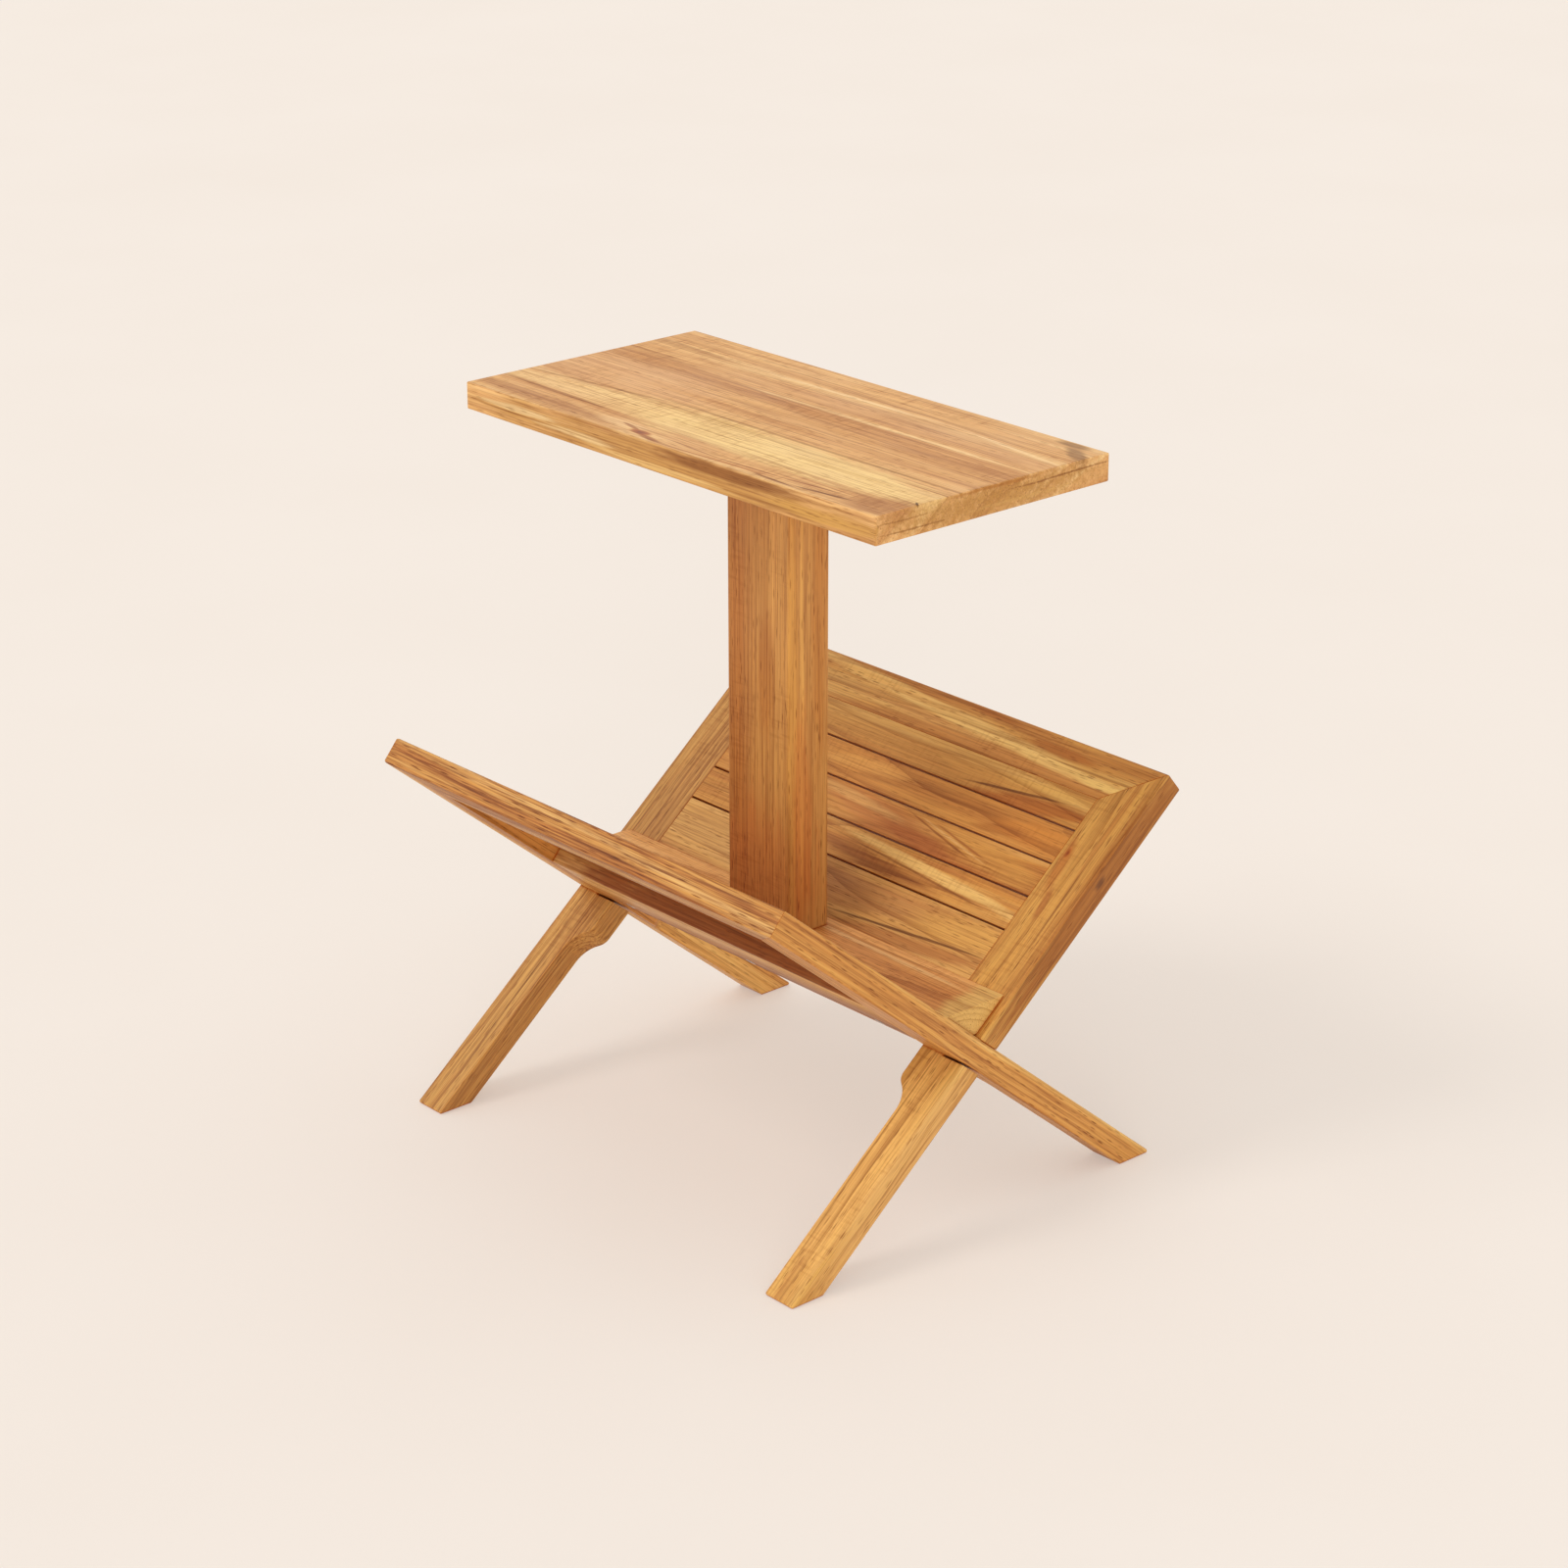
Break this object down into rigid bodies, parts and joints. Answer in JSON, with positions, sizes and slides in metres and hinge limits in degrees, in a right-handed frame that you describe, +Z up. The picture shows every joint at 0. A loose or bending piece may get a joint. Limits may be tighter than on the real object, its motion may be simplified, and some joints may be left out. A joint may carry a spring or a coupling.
{
  "type": "magazine table with rack",
  "caption": "Small solid wood side table: a rectangular top on a post that stands in a V-shaped magazine rack of crossed slatted frames on splayed legs.",
  "frame": {"origin": "on the floor, under the middle of the tabletop", "axes": "+Z up, +X along the tabletop's long side to the right as seen from the front, -Y to the front"},
  "size_m": [0.4064, 0.3682, 0.5207],
  "materials": {
    "tabletop_wood": "oiled satin",
    "post_wood": "oiled satin",
    "floor_wood": "oiled satin",
    "stile_wood": "oiled satin",
    "rail_wood": "oiled satin",
    "slat_wood": "oiled satin",
    "dowel_wood": "oiled satin",
    "screw_steel": "zinc plated"
  },
  "bodies": {
    "root": {"tabletop": "tabletop_wood", "post": "post_wood", "rack_floor": "floor_wood", "rear_frame_stile_right": "stile_wood", "rear_frame_stile_left": "stile_wood", "rear_frame_top_rail": "rail_wood", "rear_frame_bottom_rail": "rail_wood", "rear_frame_slat_1": "slat_wood", "rear_frame_slat_2": "slat_wood", "rear_frame_slat_3": "slat_wood", "rear_frame_slat_4": "slat_wood", "rear_frame_mitre_splines": "dowel_wood", "rear_floor_screws": "screw_steel", "front_frame_stile_right": "stile_wood", "front_frame_stile_left": "stile_wood", "front_frame_top_rail": "rail_wood", "front_frame_bottom_rail": "rail_wood", "front_frame_slat_1": "slat_wood", "front_frame_slat_2": "slat_wood", "front_frame_slat_3": "slat_wood", "front_frame_slat_4": "slat_wood", "front_frame_mitre_splines": "dowel_wood", "front_floor_screws": "screw_steel", "post_foot_dowels": "dowel_wood", "post_head_dowels": "dowel_wood"}
  },
  "joints": []
}
